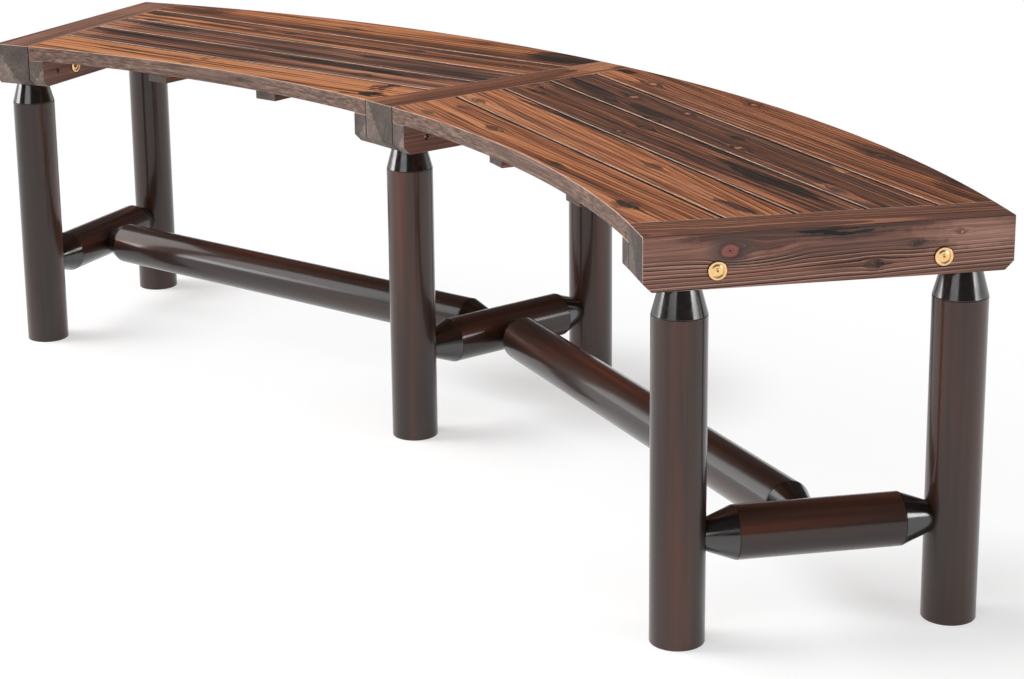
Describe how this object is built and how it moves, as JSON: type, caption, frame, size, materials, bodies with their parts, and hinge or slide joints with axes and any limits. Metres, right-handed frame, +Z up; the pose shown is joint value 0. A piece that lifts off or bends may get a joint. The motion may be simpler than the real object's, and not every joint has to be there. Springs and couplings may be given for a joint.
{
  "type": "garden bench",
  "caption": "Backless curved garden bench: slatted wooden seat fanning between radial rails, on round dark legs with tapered black collars and round stretchers.",
  "frame": {"origin": "on the floor under the middle of the bench's box", "axes": "+X along the bench to its right-hand end seen from the hollow side, +Y away from the hollow side of the arc, +Z up"},
  "size_m": [1.7898, 0.577, 0.455],
  "materials": {
    "fir": "charred and brushed softwood, satin, streaked orange to near-black brown, paler eased edges",
    "post": "dark brown stained turned wood under a glossy coat",
    "collar": "high-gloss black",
    "brass": "brass plated, polished rim",
    "steel": "zinc plated"
  },
  "bodies": {
    "root": {"batten_left_1": "fir", "batten_left_2": "fir", "batten_right_1": "fir", "batten_right_2": "fir", "cleat_left": "fir", "cleat_middle_left": "fir", "cleat_middle_right": "fir", "cleat_right": "fir", "connector_bolt_left_back": "brass", "connector_bolt_left_front": "brass", "connector_bolt_right_back": "brass", "connector_bolt_right_front": "brass", "cross_collar_left_back": "collar", "cross_collar_left_front": "collar", "cross_collar_middle_back": "collar", "cross_collar_middle_front": "collar", "cross_collar_right_back": "collar", "cross_collar_right_front": "collar", "cross_stretcher_left": "post", "cross_stretcher_middle": "post", "cross_stretcher_right": "post", "leg_collar_left_back": "collar", "leg_collar_left_front": "collar", "leg_collar_middle_back": "collar", "leg_collar_middle_front": "collar", "leg_collar_right_back": "collar", "leg_collar_right_front": "collar", "leg_left_back": "post", "leg_left_front": "post", "leg_middle_back": "post", "leg_middle_front": "post", "leg_right_back": "post", "leg_right_front": "post", "long_collar_left_left": "collar", "long_collar_left_right": "collar", "long_collar_right_left": "collar", "long_collar_right_right": "collar", "long_stretcher_left": "post", "long_stretcher_right": "post", "rail_left": "fir", "rail_middle": "fir", "rail_right": "fir", "screw_middle_left_back": "steel", "screw_middle_left_front": "steel", "screw_middle_right_back": "steel", "screw_middle_right_front": "steel", "slat_left_1": "fir", "slat_left_2": "fir", "slat_left_3": "fir", "slat_left_4": "fir", "slat_left_5": "fir", "slat_right_1": "fir", "slat_right_2": "fir", "slat_right_3": "fir", "slat_right_4": "fir", "slat_right_5": "fir", "sleeve_nut_left_back": "brass", "sleeve_nut_left_front": "brass", "sleeve_nut_right_back": "brass", "sleeve_nut_right_front": "brass"}
  },
  "joints": []
}
